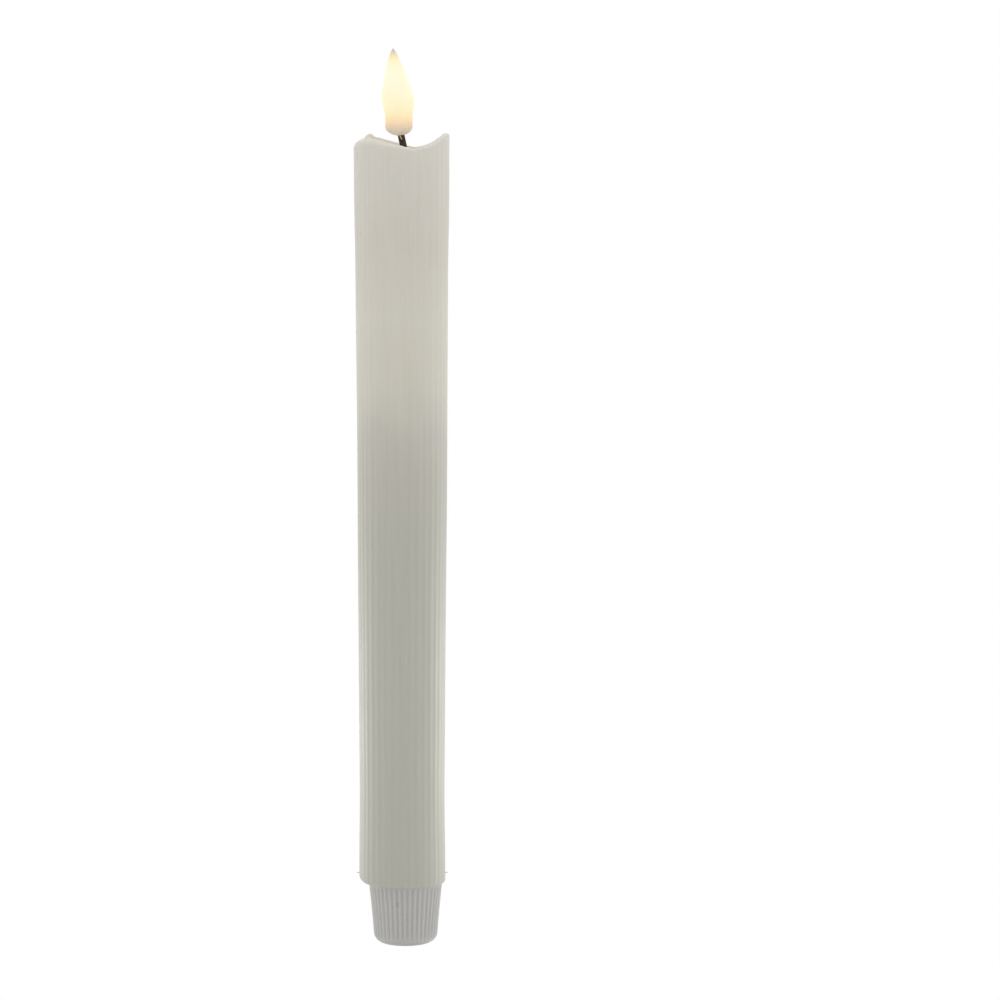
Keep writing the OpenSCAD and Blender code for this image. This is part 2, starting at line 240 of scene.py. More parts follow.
def grained(name, dark, light, blotch, grain, relief, stretch=(1, 1, 1), **shader):
    """A material that drifts between two colours in blotches and has a fine grain.

    Blotch, grain and relief are real sizes in metres. The grain gives the relief and a small
    drift of roughness, and is drawn out along an axis whose stretch is below 1.
    """
    material, tree, bsdf = new_material(name, **shader)
    coords = add_node(tree, "ShaderNodeTexCoord")
    place = add_node(tree, "ShaderNodeMapping", {"Vector": coords.outputs["Object"],
                                                 "Scale": stretch})
    drift = add_node(tree, "ShaderNodeTexNoise", {"Vector": coords.outputs["Object"],
                                                  "Scale": 1 / blotch, "Detail": 3.0})
    fine = add_node(tree, "ShaderNodeTexNoise", {"Vector": place.outputs[0], "Scale": 1 / grain,
                                                 "Detail": 4.0})
    tone = add_node(tree, "ShaderNodeMath", {0: drift.outputs["Fac"], 1: fine.outputs["Fac"]},
                    operation="MULTIPLY")
    shade = add_node(tree, "ShaderNodeValToRGB", {0: tone.outputs[0]})
    shade.color_ramp.elements[0].position = 0.12
    shade.color_ramp.elements[0].color = hex_colour(dark)
    shade.color_ramp.elements[1].position = 0.40
    shade.color_ramp.elements[1].color = hex_colour(light)
    rough = bsdf.inputs["Roughness"].default_value
    gloss = add_node(tree, "ShaderNodeMapRange", {"Value": fine.outputs["Fac"],
                                                  "To Min": rough * 0.85, "To Max": rough * 1.15})
    bump = add_node(tree, "ShaderNodeBump", {"Height": fine.outputs["Fac"], "Strength": 0.4,
                                             "Distance": relief})
    tree.links.new(shade.outputs[0], bsdf.inputs["Base Color"])
    tree.links.new(gloss.outputs[0], bsdf.inputs["Roughness"])
    tree.links.new(bump.outputs[0], bsdf.inputs["Normal"])
    return material, tree, bsdf, coords


def dressed(material, *names):
    """Gives CAD nodes that stay in view a material of their own."""
    for name in names:
        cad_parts[name].material_slots[0].material = material


bm = bmesh.new()
cap_outline = [(cap_hub_r, 0)]
cap_outline += arc(cap_foot_r - cap_edge, cap_edge, cap_edge, -90, -4, 9)
foot_top = cap_outline[-1]
cap_outline += [(foot_top[0] + (cap_mouth_r - foot_top[0]) * i / wall_levels,
                 foot_top[1] + (cap_height - cap_lip - foot_top[1]) * i / wall_levels)
                for i in range(1, wall_levels + 1)]
cap_outline += [(cap_mouth_r - cap_lip, cap_height), (cap_seat_r + cap_lip, cap_height),
                (cap_seat_r, cap_height - cap_lip), (cap_seat_r, cap_seat_z),
                (cap_bore_r, cap_seat_z), (cap_bore_r, cap_floor + cap_lip),
                (cap_bore_r - cap_lip, cap_floor), (cap_hub_r, cap_floor)]
turn(bm, chain(bm, cap_outline), flutes * flute_steps)
outer_r = cap_seat_r + cap_lip
for v in bm.verts:
    r = math.hypot(v.co.x, v.co.y)
    along = v.co.z / cap_height
    if r > outer_r * (0.93 + 0.07 * min(1, along * 3)) and v.co.z > flute_low:
        angle = math.atan2(v.co.y, v.co.x)
        groove = (0.5 + 0.5 * math.cos(angle * flutes)) ** 1.3
        fade = smooth(flute_low, 2.6 * MM, v.co.z)
        fade *= 1 - smooth(cap_height - collar - 0.5 * MM, cap_height - collar, v.co.z)
        away = math.hypot((angle - gate_angle) * r, v.co.z - gate_z)
        dimple = gate_depth * math.exp(-(away / gate_r) ** 2)
        shrink = flute_depth * groove * fade + cap_waist * math.sin(math.pi * along) + dimple
        v.co.x *= 1 - shrink / r
        v.co.y *= 1 - shrink / r
for z in (0, cap_floor):
    hub = [e for e in bm.edges if e.is_boundary and abs(e.verts[0].co.z - z) < 0.1 * MM]
    plate = bmesh.ops.create_grid(bm, x_segments=1, y_segments=1, size=0.5)["verts"]
    bmesh.ops.scale(bm, vec=(slot_length, slot_width, 1), verts=plate)
    bmesh.ops.translate(bm, vec=(0, 0, z), verts=plate)
    bmesh.ops.bevel(bm, geom=plate, offset=0.5 * MM, segments=4, profile=0.5,
                    affect="VERTICES", material=-1)
    blank = min(bm.faces, key=lambda f: (f.calc_center_bounds() - Vector((0, 0, z))).length)
    slot = list(blank.edges)
    bmesh.ops.delete(bm, geom=[blank], context="FACES_ONLY")
    bmesh.ops.triangle_fill(bm, edges=hub + slot, use_beauty=True)
slot_edges = [e for e in bm.edges if e.is_boundary]
bmesh.ops.bridge_loops(bm, edges=slot_edges)
for side in (-1, 1):
    boss = bmesh.new()
    turn(boss, chain(boss, [(r * MM, z * MM) for r, z in boss_outline], closed=True), 32)
    joined(bm, boss, (0, side * boss_y, 0))

# Spark-eroded mould steel leaves a fine even bloom on the ABS, with a soft waxy gloss. The
# grooves between the ribs are painted a shade darker and the crests a touch lighter: painted
# shade, which fades out towards the foot.
fluted_abs, tree, bsdf, coords = grained("fluted_abs_white", "#D6D5D2", "#DAD9D6", 6 * MM,
                                        0.8 * MM, 0.004 * MM, Roughness=0.42, IOR=1.54)
place = add_node(tree, "ShaderNodeSeparateXYZ", {0: coords.outputs["Object"]})
around = add_node(tree, "ShaderNodeMath", {0: place.outputs["Y"], 1: place.outputs["X"]},
                  operation="ARCTAN2")
phase = add_node(tree, "ShaderNodeMath", {0: around.outputs[0], 1: flutes}, operation="MULTIPLY")
wave = add_node(tree, "ShaderNodeMath", {0: phase.outputs[0]}, operation="COSINE")
# Painted shade: darker in the grooves, a little lighter on the crests
groove_painted_shade = add_node(tree, "ShaderNodeMapRange", {"Value": wave.outputs[0], "From Min": -1.0,
                                             "To Min": 1.04, "To Max": 0.90})
groove_painted_shade_by_height = add_node(tree, "ShaderNodeMapRange", {"Value": place.outputs["Z"], "From Min": flute_low,
                                              "From Max": 4 * MM, "To Min": 1.0,
                                              "To Max": groove_painted_shade.outputs[0]})
plain = bsdf.inputs["Base Color"].links[0].from_socket
toned = add_node(tree, "ShaderNodeVectorMath", {0: plain, "Scale": groove_painted_shade_by_height.outputs[0]},
                 operation="SCALE")
tree.links.new(toned.outputs[0], bsdf.inputs["Base Color"])
cap = finished("fluted_cap", bm, "base", fluted_abs, sharp=50)
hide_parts("base_cap")


# ---- Switch ----
# A miniature slide switch under a small board: nickelled shell, three silvered pins and two
# pan-head screws that hold the board in the cap. Only its knob shows, in the cap's floor.
# The board is woven glass in green epoxy; the weave is 0.5 mm and shows as a faint check
weave_pitch = 0.5 * MM


def glass_board(name, dark, light):
    """Green epoxy over glass cloth, with a faint woven check."""
    material, tree, bsdf, coords = grained(name, dark, light, 4 * MM, 0.2 * MM, 0.01 * MM,
                                           Roughness=0.3, IOR=1.55, Coat_Weight=0.4)
    threads = [add_node(tree, "ShaderNodeTexWave", {"Vector": coords.outputs["Object"],
                                                    "Scale": 0.314 / weave_pitch},
                        bands_direction=axis) for axis in ("X", "Y")]
    weave = add_node(tree, "ShaderNodeMath", {0: threads[0].outputs["Fac"],
                                              1: threads[1].outputs["Fac"]}, operation="ADD")
    cloth = add_node(tree, "ShaderNodeBump", {"Height": weave.outputs[0], "Strength": 0.25,
                                              "Distance": 0.02 * MM})
    tree.links.new(cloth.outputs[0], bsdf.inputs["Normal"])
    return material


# Nickel plate over steel is a warm, slightly streaked grey mirror, dulled by handling
nickel, _, _, _ = grained("nickelled_steel", "#A5A29B", "#C6C3BB", 3 * MM, 0.25 * MM, 0.01 * MM,
                          stretch=(1, 1, 0.2), Metallic=1.0, Roughness=0.3)
# Phosphor bronze strip is rolled, so its grain runs along it and its yellow turns brown in places
bronze, _, _, _ = grained("phosphor_bronze", "#A07A45", "#C79A5B", 4 * MM, 0.2 * MM, 0.01 * MM,
                          stretch=(1, 1, 0.08), Metallic=1.0, Roughness=0.32)
board_green = glass_board("glass_epoxy_board", "#123E22", "#1B5A31")
dressed(board_green, "switch_board")
dressed(nickel, "switch_housing", "board_screws")
dressed(bronze, "switch_terminals")

knob_low, knob_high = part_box("switch_knob")
knob_x = (knob_low.x + knob_high.x) / 2
knob_width = knob_high.x - knob_low.x
grip_low = 0.5 * MM
grip_high = 2.1 * MM
grip_ridges = 3
ridge_gap = 0.8 * MM


def block(bm, size, centre, edge, steps=3):
    """Adds a box with rounded edges, as its own closed shell."""
    part = bmesh.new()
    bmesh.ops.create_cube(part, size=1)
    bmesh.ops.scale(part, vec=size, verts=part.verts)
    bmesh.ops.bevel(part, geom=part.edges[:], offset=edge, segments=steps, profile=0.5,
                    affect="EDGES", material=-1)
    joined(bm, part, centre)


bm = bmesh.new()
block(bm, (knob_width, knob_width, grip_high - grip_low),
      (knob_x, 0, (grip_low + grip_high) / 2), 0.25 * MM)
for i in range(grip_ridges):
    ridge_x = knob_x + (i - (grip_ridges - 1) / 2) * ridge_gap
    block(bm, (0.36 * MM, 2.6 * MM, 0.5 * MM), (ridge_x, 0, knob_low.z + 0.25 * MM), 0.12 * MM)
block(bm, (1.2 * MM, 1.2 * MM, 1.6 * MM), (knob_x, 0, knob_high.z - 0.8 * MM), 0.1 * MM)
# The knob is nylon, a shade creamier and glossier than the cap where thumbs have rubbed it
nylon, _, _, _ = grained("moulded_nylon", "#CFCCC4", "#DAD7CF", 2 * MM, 0.2 * MM, 0.02 * MM,
                         Roughness=0.35, IOR=1.53, Subsurface_Weight=0.2, Subsurface_Scale=0.001)
knob = finished("thumb_knob", bm, "switch", nylon)
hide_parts("switch_knob")


# ---- Threaded neck ----
# A white ABS ring pressed into the cap, with the coarse right-hand thread that the candle
# screws on to. It shows once the candle is unscrewed.
neck_low, neck_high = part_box("thread_neck")
neck_core_r = 7.2 * MM
neck_crest_r = 7.9 * MM
neck_bore_r = 6.3 * MM
neck_floor = 1.0 * MM
neck_floor_r = 5.0 * MM
neck_flange_top = cap_height
thread_pitch = 2.0 * MM
thread_turns = 2.2
thread_z = 18.6 * MM
thread_steps = 72
thread_run_in = 0.12
ridge_foot_r = 6.9 * MM
ridge_outline = [(ridge_foot_r, -0.5 * MM), (neck_crest_r - 0.1 * MM, -0.28 * MM),
                 (neck_crest_r, -0.18 * MM), (neck_crest_r, 0.18 * MM),
                 (neck_crest_r - 0.1 * MM, 0.28 * MM), (ridge_foot_r, 0.5 * MM)]


def coil(outline, start_z, pitch, turns, steps_per_turn):
    """Sweeps a closed outline up a right-hand helix and closes its ends."""
    part = bmesh.new()
    steps = round(turns * steps_per_turn)
    profile = chain(part, [(r, start_z + z) for r, z in outline], closed=True)
    bmesh.ops.spin(part, geom=profile, axis=(0, 0, 1), cent=(0, 0, 0), angle=math.tau * turns,
                   dvec=(0, 0, pitch * turns / steps), steps=steps, use_duplicate=False)
    bmesh.ops.holes_fill(part, edges=[e for e in part.edges if e.is_boundary])
    return part


def turns_along(v, start_z, pitch):
    """How many turns up its helix a vertex is; right while the outline is under half a pitch."""
    share = math.atan2(v.co.y, v.co.x) / math.tau
    return round((v.co.z - start_z) / pitch - share) + share


bm = bmesh.new()
neck_outline = [(neck_floor_r, neck_low.z), (neck_high.x - 0.2 * MM, neck_low.z),
                (neck_high.x, neck_low.z + 0.2 * MM), (neck_high.x, neck_flange_top - 0.15 * MM),
                (neck_high.x - 0.15 * MM, neck_flange_top), (neck_core_r + 0.15 * MM, neck_flange_top),
                (neck_core_r, neck_flange_top + 0.15 * MM), (neck_core_r, neck_high.z - 0.25 * MM),
                (neck_core_r - 0.25 * MM, neck_high.z), (neck_bore_r + 0.15 * MM, neck_high.z),
                (neck_bore_r, neck_high.z - 0.15 * MM), (neck_bore_r, neck_low.z + neck_floor),
                (neck_floor_r, neck_low.z + neck_floor)]
turn(bm, chain(bm, neck_outline, closed=True), 128)
thread = coil(ridge_outline, thread_z, thread_pitch, thread_turns, thread_steps)
for v in thread.verts:
    at = turns_along(v, thread_z, thread_pitch)
    grown = smooth(0, thread_run_in, at) * smooth(0, thread_run_in, thread_turns - at)
    r = math.hypot(v.co.x, v.co.y)
    slim = (ridge_foot_r + (r - ridge_foot_r) * grown) / r
    v.co.x *= slim
    v.co.y *= slim
joined(bm, thread)
# The neck is moulded in the same ABS, with a fine bloom and no painted groove shade
abs_white, _, _, _ = grained("moulded_abs_white", "#D6D5D2", "#DAD9D6", 6 * MM, 0.8 * MM,
                             0.004 * MM, Roughness=0.42, IOR=1.54)
neck = finished("threaded_neck", bm, "base", abs_white)
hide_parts("thread_neck")


# ---- Contacts in the base ----
# Hard-drawn steel wire wound into a conical spring, tin bright, on a stamped plate; a bronze
# ring on the neck's top edge meets the strip in the tube, and a black lead feeds it.
spring_low, spring_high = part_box("battery_spring")
spring_turns = 6.5
spring_flat = 0.12
spring_r = 4.8 * MM
spring_taper = 1.2 * MM
wire_r = 0.4 * MM
wire_low = spring_low.z + wire_r
wire_high = spring_high.z - wire_r
spring_lead = (wire_high - wire_low) / spring_turns

bm = bmesh.new()
spring = coil(arc(spring_r, 0, wire_r, 0, 330, 11), wire_low, spring_lead, spring_turns, 36)
for v in spring.verts:
    at = turns_along(v, wire_low, spring_lead)
    share = min(1.0, max(0.0, (at / spring_turns - spring_flat) / (1 - 2 * spring_flat)))
    r = math.hypot(v.co.x, v.co.y)
    narrow = (r - spring_taper * share) / r
    v.co.x *= narrow
    v.co.y *= narrow
    v.co.z += (wire_high - wire_low) * share - spring_lead * at
joined(bm, spring)
# Music wire is drawn, and it shines in a narrow bright streak
wire_steel, _, _, _ = grained("tinned_music_wire", "#8F8E8A", "#BDBCB8", 2 * MM, 0.15 * MM,
                              0.008 * MM, Metallic=1.0, Roughness=0.25)
coiled = finished("conical_spring", bm, "base", wire_steel)
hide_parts("battery_spring")
dressed(nickel, "negative_plate")
dressed(bronze, "ring_contact")
# PVC on a stranded lead is soft, a little dusty, and shows the strands only as a faint ripple
black_pvc, _, _, _ = grained("black_pvc", "#141414", "#222221", 3 * MM, 0.4 * MM, 0.03 * MM,
                             Roughness=0.5, IOR=1.53)
dressed(black_pvc, "ring_lead", "negative_lead")


# ---- Cells ----
# Two AA cells nose to tail: a nickelled can that is the positive end, in a printed and shrunk
# plastic film. They rise with the tube as the cap is unscrewed.
dressed(nickel, "cell_1_can", "cell_2_can")
jacket_bands = ((0.0, "#B9BDBB"), (0.06, "#B9BDBB"), (0.065, "#173F2A"), (0.78, "#1C4A31"),
                (0.785, "#DAD9D2"), (0.80, "#DAD9D2"), (0.805, "#A9ADAB"), (1.0, "#B4B8B6"))
for name in ("cell_1_jacket", "cell_2_jacket"):
    jacket_low, jacket_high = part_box(name)
    # The film is glossy over flat printed colour: a green body between two silver ends
    film, tree, bsdf, coords = grained(name + "_film", "#173F2A", "#1C4A31", 9 * MM, 0.8 * MM,
                                       0.01 * MM, Roughness=0.22, IOR=1.5, Coat_Weight=0.5)
    place = add_node(tree, "ShaderNodeSeparateXYZ", {0: coords.outputs["Object"]})
    height = add_node(tree, "ShaderNodeMapRange", {"Value": place.outputs["Z"],
                                                   "From Min": jacket_low.z,
                                                   "From Max": jacket_high.z})
    bands = add_node(tree, "ShaderNodeValToRGB", {0: height.outputs[0]})
    bands.color_ramp.elements[0].color = hex_colour(jacket_bands[0][1])
    bands.color_ramp.elements[1].color = hex_colour(jacket_bands[-1][1])
    for share, code in jacket_bands[1:-1]:
        bands.color_ramp.elements.new(share).color = hex_colour(code)
    tree.links.new(bands.outputs[0], bsdf.inputs["Base Color"])
    dressed(film, name)


# ---- Battery tube and driver ----
# The tube is moulded in natural polypropylene with the female thread in its foot. A carrier
# disc above the cells holds the positive contact and the driver board; a plug closes the top.
# Natural polypropylene is milky and soft-edged, waxier than the cap
natural_pp, _, _, _ = grained("natural_polypropylene", "#D2D2CC", "#DEDED8", 8 * MM, 0.5 * MM,
                              0.04 * MM, Roughness=0.45, IOR=1.49, Subsurface_Weight=0.3,
                              Subsurface_Scale=0.002)
dressed(natural_pp, "battery_tube", "contact_carrier", "tube_plug")
dressed(bronze, "return_strip", "positive_contact")
dressed(board_green, "driver_board")
dressed(wire_steel, "timer_crystal")

chip_low, chip_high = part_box("flicker_chip")
chip_y = (chip_low.y + chip_high.y) / 2
chip_half = 1.9 * MM
resistor_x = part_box("resistors")[1].x - 1 * MM
resistor_half = 0.65 * MM
part_spacing = 8 * MM


def tinned_ends(name, axis, centre, half):
    """Black epoxy whose ends, past a half width along one axis, are bright tin."""
    material, tree, bsdf, coords = grained(name, "#101010", "#1D1D1C", 1 * MM, 0.1 * MM,
                                           0.01 * MM, Roughness=0.5)
    place = add_node(tree, "ShaderNodeSeparateXYZ", {0: coords.outputs["Object"]})
    wrapped = add_node(tree, "ShaderNodeMath", {0: place.outputs[axis],
                                                1: centre + part_spacing / 2,
                                                2: centre - part_spacing / 2}, operation="WRAP")
    past = add_node(tree, "ShaderNodeMath", {0: wrapped.outputs[0], 1: centre, 2: half},
                    operation="COMPARE")
    tint = add_node(tree, "ShaderNodeMix", {0: past.outputs[0], 6: hex_colour("#C4C2BC"),
                                            7: bsdf.inputs["Base Color"].links[0].from_socket},
                    data_type="RGBA")
    metal = add_node(tree, "ShaderNodeMath", {0: 1.0, 1: past.outputs[0]}, operation="SUBTRACT")
    tree.links.new(tint.outputs[2], bsdf.inputs["Base Color"])
    tree.links.new(metal.outputs[0], bsdf.inputs["Metallic"])
    return material


# Filled epoxy is dead black and finely gritty; pins and end caps are bright tin
dressed(tinned_ends("epoxy_chip_package", "Y", chip_y, chip_half), "flicker_chip")
dressed(tinned_ends("thick_film_resistor", "X", resistor_x, resistor_half), "resistors")

# The capacitor's shrunk PVC sleeve is glossy blue and stops short of its bare aluminium top
sleeve_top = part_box("capacitor")[1].z - 0.35 * MM
sleeve, tree, bsdf, coords = grained("blue_pvc_sleeve", "#16245A", "#1E2F70", 3 * MM, 0.5 * MM,
                                     0.01 * MM, Roughness=0.28, IOR=1.53)
place = add_node(tree, "ShaderNodeSeparateXYZ", {0: coords.outputs["Object"]})
bare = add_node(tree, "ShaderNodeMath", {0: place.outputs["Z"], 1: sleeve_top},
                operation="GREATER_THAN")
tint = add_node(tree, "ShaderNodeMix", {0: bare.outputs[0],
                                        6: bsdf.inputs["Base Color"].links[0].from_socket,
                                        7: hex_colour("#C9CACB")}, data_type="RGBA")
tree.links.new(tint.outputs[2], bsdf.inputs["Base Color"])
tree.links.new(bare.outputs[0], bsdf.inputs["Metallic"])
dressed(sleeve, "capacitor")

red_pvc, _, _, _ = grained("red_pvc", "#8E1410", "#A81C16", 3 * MM, 0.4 * MM, 0.03 * MM,
                           Roughness=0.5, IOR=1.53)
dressed(red_pvc, "positive_lead")


# ---- Wick and LED ----
# The LED's two tinned legs run up inside black woven sleeving, straight through the plug and
# the wax and then bent over to the left, as a burnt wick leans. One bare end shows at the top,
# as a stand-in for a painted glint there.
wick_low, wick_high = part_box("wick_sleeve")
wick_r = 0.92 * MM
wick_x = 0.5 * MM
wick_bend_r = 5 * MM
wick_bend_z = 209.5 * MM
wick_lean = math.radians(12)
wick_sides = 32
wick_plaits = 8
wick_relief = 0.05 * MM
plait_pitch = 1.1 * MM


def wick_line(length):
    """Middle of the wick, and its lean, at a length above its foot."""
    straight = wick_bend_z - wick_low.z
    if length < straight:
        return Vector((wick_x, 0, wick_low.z + length)), 0.0
    lean = min(wick_lean, (length - straight) / wick_bend_r)
    past = max(0.0, length - straight - wick_bend_r * wick_lean)
    x = wick_x - wick_bend_r * (1 - math.cos(lean)) - past * math.sin(lean)
    z = wick_bend_z + wick_bend_r * math.sin(lean) + past * math.cos(lean)
    return Vector((x, 0, z)), lean


def plaited_tube(radius, length, rings, relief):
    """A tube up the wick's line whose surface is plaited by two sets of crossing strands."""
    part = bmesh.new()
    bmesh.ops.create_circle(part, cap_ends=False, segments=wick_sides, radius=radius)
    edges = part.edges[:]
    for i in range(rings):
        geom = bmesh.ops.extrude_edge_only(part, edges=edges)["geom"]
        upper = [g for g in geom if isinstance(g, bmesh.types.BMVert)]
        edges = [g for g in geom if isinstance(g, bmesh.types.BMEdge)]
        bmesh.ops.translate(part, vec=(0, 0, length / rings), verts=upper)
    bmesh.ops.holes_fill(part, edges=[e for e in part.edges if e.is_boundary])
    for v in part.verts:
        angle = math.atan2(v.co.y, v.co.x)
        climb = math.tau * v.co.z / plait_pitch
        plait = math.sin(wick_plaits / 2 * angle + climb) * math.sin(wick_plaits / 2 * angle - climb)
        grown = 1 + relief * plait / radius
        middle, lean = wick_line(v.co.z)
        aside = v.co.x * grown
        v.co = middle + Vector((aside * math.cos(lean), v.co.y * grown, aside * math.sin(lean)))
    return part


wick_length = (wick_bend_z - wick_low.z + wick_bend_r * wick_lean
               + (wick_high.z - wick_bend_z - wick_bend_r * math.sin(wick_lean)) / math.cos(wick_lean))
bm = bmesh.new()
joined(bm, plaited_tube(wick_r, wick_length, 130, wick_relief))
# Glass-fibre sleeving in black varnish: matt between strands, with a dull brown shine on them
sleeving, _, _, _ = grained("black_woven_sleeving", "#17110E", "#3A2C24", 0.8 * MM, 0.15 * MM,
                            0.05 * MM, Roughness=0.6)
wick = finished("plaited_wick", bm, "candle", sleeving, sharp=70)
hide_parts("wick_sleeve")

# One bare end of the LED's lead lies against the front of the wick, under the flame: a stand-in
# for the painted orange glint of the flame on the wick's top
lead_end_length = 1.5 * MM
lead_end_r = 0.17 * MM
bm = bmesh.new()
tip, tip_lean = wick_line(wick_length - 1.2 * MM)
wire = bmesh.new()
bmesh.ops.create_cone(wire, cap_ends=True, segments=12, radius1=lead_end_r,
                      radius2=lead_end_r - 0.03 * MM, depth=lead_end_length)
bmesh.ops.bevel(wire, geom=wire.edges[:], offset=0.03 * MM, segments=2, profile=0.5,
                affect="EDGES", material=-1)
bmesh.ops.rotate(wire, verts=wire.verts, matrix=Matrix.Rotation(-tip_lean - 0.25, 3, "Y"))
joined(bm, wire, tip + Vector((-0.15 * MM, -wick_r - 0.02 * MM, -0.25 * MM)))
# Drawn copper, coloured as a painted glint: the pale orange of the lit flame's highlight on the wick's
# top
painted_glint_copper, _, _, _ = grained("copper_painted_glint", "#D39A72", "#F0C4A0", 0.5 * MM, 0.1 * MM,
                          0.005 * MM, Metallic=1.0, Roughness=0.3)
finished("painted_glint_lead_end", bm, "candle", painted_glint_copper)
dressed(nickel, "led_legs")

# The LED is a 3 mm lens of clear epoxy over a yellow phosphor cup
led_epoxy, _, _, _ = grained("led_epoxy_warm", "#E9D98E", "#F5EBB8", 1 * MM, 0.3 * MM, 0.005 * MM,
                             Roughness=0.12, IOR=1.53, Emission_Strength=0.6,
                             Emission_Color=hex_colour("#FFD890"))
dressed(led_epoxy, "led")


# ---- Wax sleeve ----
# Ivory paraffin wax, cast round the tube in a two-part mould: fine upright ribs, a wavy rim
# that looks burnt down, a shallow melt pool, and two flakes of flash at the mould's parting line.
wax_low, wax_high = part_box("wax_sleeve")
_, tube_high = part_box("battery_tube")
wax_centre_x = (wax_low.x + wax_high.x) / 2
wax_foot_z = wax_low.z
# A thin skirt of wax hangs past the casting's foot and hides the cap's collar without touching it
wax_skirt = 0.75 * MM
skirt_r = 10.05 * MM
wax_foot_r = 11.3 * MM
wax_rim_r = wax_high.y
wax_bore_r = tube_high.x + 0.1 * MM
wax_bore_top = 204.7 * MM
wax_flare = 0.18 * MM
flare_height = 24 * MM
wax_waist = 0.18 * MM
wax_lean = 0.15 * MM
wax_wall_top = 206 * MM
rim_low_z = 212.1 * MM
rim_low_x = 2.5 * MM
rim_left_rise = 3.0 * MM
rim_left_top = 2.45 * MM
burr_angle = 143.0
burr_height = 1.05 * MM
burr_back = 3.5
burr_front = 8.0
front_droop = 0.3 * MM
left_droop = 0.5 * MM
rim_right_rise = 3.7 * MM
pool_floor_z = 208.2 * MM
pool_r = 7.6 * MM
ribs = 38
rib_steps = 8
rib_depth = 0.10 * MM
wax_levels = 64
foot_steps = 6
shoulder_steps = 8
bowl_steps = 8
# Air bubbles against the mould leave pits on the left: angle, height, radius and depth
pits = ((-155.4, 204.6, 0.55, 0.30), (-138.8, 198.5, 0.5, 0.25), (-148.0, 189.6, 0.6, 0.3))
# Crumbs of wax stand on the front of the rim: distance to the side and height
crumbs = ((3.4 * MM, 0.42 * MM), (4.5 * MM, 0.36 * MM))
crumb_half = 0.2 * MM


def wax_radius(z):
    """Radius of the casting: a taper with a slight waist, which flares a little at the foot."""
    share = (z - wax_foot_z) / (wax_high.z - wax_foot_z)
    flare = wax_flare * (1 - smooth(wax_foot_z, wax_foot_z + flare_height, z))
    waist = wax_waist * smooth(20 * MM, 45 * MM, z) * (1 - smooth(180 * MM, 200 * MM, z))
    return wax_foot_r + (wax_rim_r - wax_foot_r) * share + flare - waist


def wax_middle(z):
    """The casting's middle, which leans a little towards +X on its way up."""
    return wax_centre_x + wax_lean * (2 * smooth(60 * MM, 130 * MM, z) - 1)


def rim_height(angle):
    """Height of the rim's crest at an angle round the candle: low in front and behind."""
    x = wax_centre_x + wax_lean + 10.6 * MM * math.cos(angle)
    if x < rim_low_x:
        rise = min(rim_left_top, rim_left_rise * ((rim_low_x - x) / (11 * MM)) ** 1.1)
    else:
        rise = rim_right_rise * ((x - rim_low_x) / (7.4 * MM)) ** 2.0
    left = max(0.0, -math.cos(angle))
    front = max(0.0, -math.sin(angle))
    past = abs(math.degrees(angle)) - burr_angle
    burr = burr_height * math.exp(-(past / (burr_back if past > 0 else burr_front)) ** 2)
    droop = front_droop * front * left ** 0.5 + left_droop * smooth(0.92, 1.0, left)
    wander = 0.14 * MM * noise.noise(Vector((math.cos(angle) * 2.3, math.sin(angle) * 2.3, 4.0)))
    grain = 0.07 * MM * noise.noise(Vector((math.cos(angle) * 11, math.sin(angle) * 11, 9.0)))
    crumb = sum(tall * math.exp(-((x - aside) / crumb_half) ** 2) for aside, tall in crumbs)
    return (rim_low_z + rise + burr * (1 - front) - droop + wander + grain
            + crumb * smooth(0.3, 0.6, front))


bm = bmesh.new()
outline = [(wax_bore_r, wax_bore_top), (wax_bore_r, wax_foot_z + 0.3 * MM),
           (wax_bore_r + 0.3 * MM, wax_foot_z), (skirt_r, wax_foot_z),
           (skirt_r, wax_foot_z - wax_skirt)]
foot_start = len(outline)
outline += arc(wax_foot_r - 0.3 * MM, wax_foot_z, 0.3 * MM, -90, 0, foot_steps)
wall_start = len(outline)
wall_low = wax_foot_z + 2.5 * MM
level_z = [wall_low + (wax_wall_top - wall_low) * i / wax_levels for i in range(wax_levels + 1)]
level_z += [z * MM + step * 0.25 * MM for _, z, _, _ in pits for step in range(-3, 4)]
level_z = sorted(z for z in level_z if z <= wax_wall_top)
outline += [(wax_radius(z), z) for z in level_z]
shoulder_start = len(outline)
outline += [(wax_rim_r - 0.1 * MM * (i + 1), (207 + 0.1 * i) * MM) for i in range(shoulder_steps)]
bowl_start = len(outline)
outline += [(10.0 * MM - 0.2 * MM * i, (209 - 0.05 * i) * MM) for i in range(bowl_steps)]
pool_start = len(outline)
outline += [(pool_r * 0.6, pool_floor_z), (pool_r * 0.3, pool_floor_z),
            (1.2 * MM, pool_floor_z + 0.25 * MM)]
order = bm.verts.layers.int.new("order")
outline_parts = chain(bm, outline)
for index, v in enumerate(outline_parts[:len(outline)]):
    v[order] = index + 1
turn(bm, outline_parts, ribs * rib_steps)
